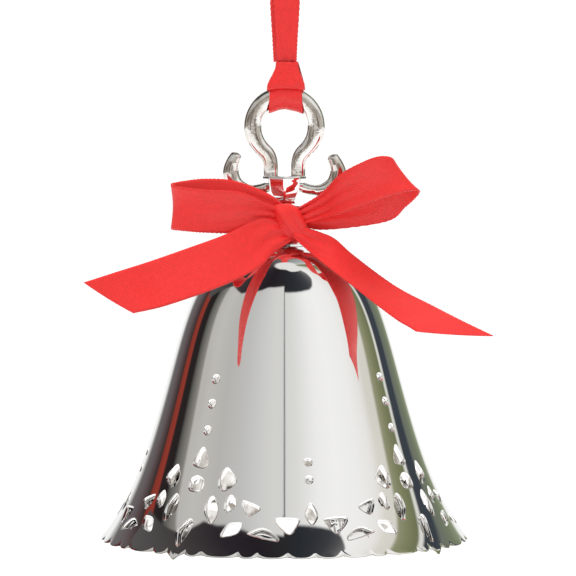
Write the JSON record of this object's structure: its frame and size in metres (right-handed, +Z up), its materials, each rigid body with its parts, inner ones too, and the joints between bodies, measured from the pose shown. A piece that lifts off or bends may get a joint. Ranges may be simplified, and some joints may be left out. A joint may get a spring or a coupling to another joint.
{
  "type": "christmas bell ornament",
  "caption": "Pierced silver-plated Christmas bell with a scalloped rim, a hanging loop between two hooks, a clapper, a red satin bow and a ribbon hanger.",
  "frame": {"origin": "the inside top of the ribbon's eye, where the outside hook carries the ornament", "axes": "+Z up along the bell's axis, X to the right across the bow, -Y towards the viewer"},
  "size_m": [0.0862, 0.0864, 0.1592],
  "materials": {
    "silver_plate": "bright mirror silver plate",
    "bright_steel": "bright zinc-plated steel",
    "red_satin": "woven satin ribbon, soft sheen"
  },
  "bodies": {
    "hanger": {"hanger_front_strand": "red_satin", "hanger_back_strand": "red_satin", "hanger_knot": "red_satin", "hanger_left_end": "red_satin", "hanger_right_end": "red_satin"},
    "hitch": {"hanger_hitch": "red_satin"},
    "bell": {"bell_shell": "silver_plate", "crown_stem": "silver_plate", "crown_loop": "silver_plate", "left_hook": "silver_plate", "right_hook": "silver_plate", "eye_bolt": "bright_steel", "eye_washer": "bright_steel", "lock_nut": "bright_steel", "bow_neck_band": "red_satin", "bow_knot": "red_satin", "bow_left_loop": "red_satin", "bow_right_loop": "red_satin", "bow_left_tail": "red_satin", "bow_right_tail": "red_satin"},
    "link": {"clapper_link": "bright_steel"},
    "clapper": {"clapper_rod": "bright_steel", "clapper_ball": "bright_steel"}
  },
  "joints": [
    {"name": "ribbon_sway", "type": "hinge", "parent": "hanger", "child": "hitch", "pos_m": [0, 0, -0.0353], "axis": [0, 1, 0], "range_deg": [-20, 20]},
    {"name": "bell_swing", "type": "hinge", "parent": "hitch", "child": "bell", "pos_m": [0, 0, -0.04258], "axis": [1, 0, 0], "range_deg": [-25, 25]},
    {"name": "link_swing", "type": "hinge", "parent": "bell", "child": "link", "pos_m": [0, 0, -0.0864], "axis": [1, 0, 0], "range_deg": [-22, 22]},
    {"name": "clapper_swing", "type": "hinge", "parent": "link", "child": "clapper", "pos_m": [0, 0, -0.0899], "axis": [0, 1, 0], "range_deg": [-22, 22]}
  ]
}
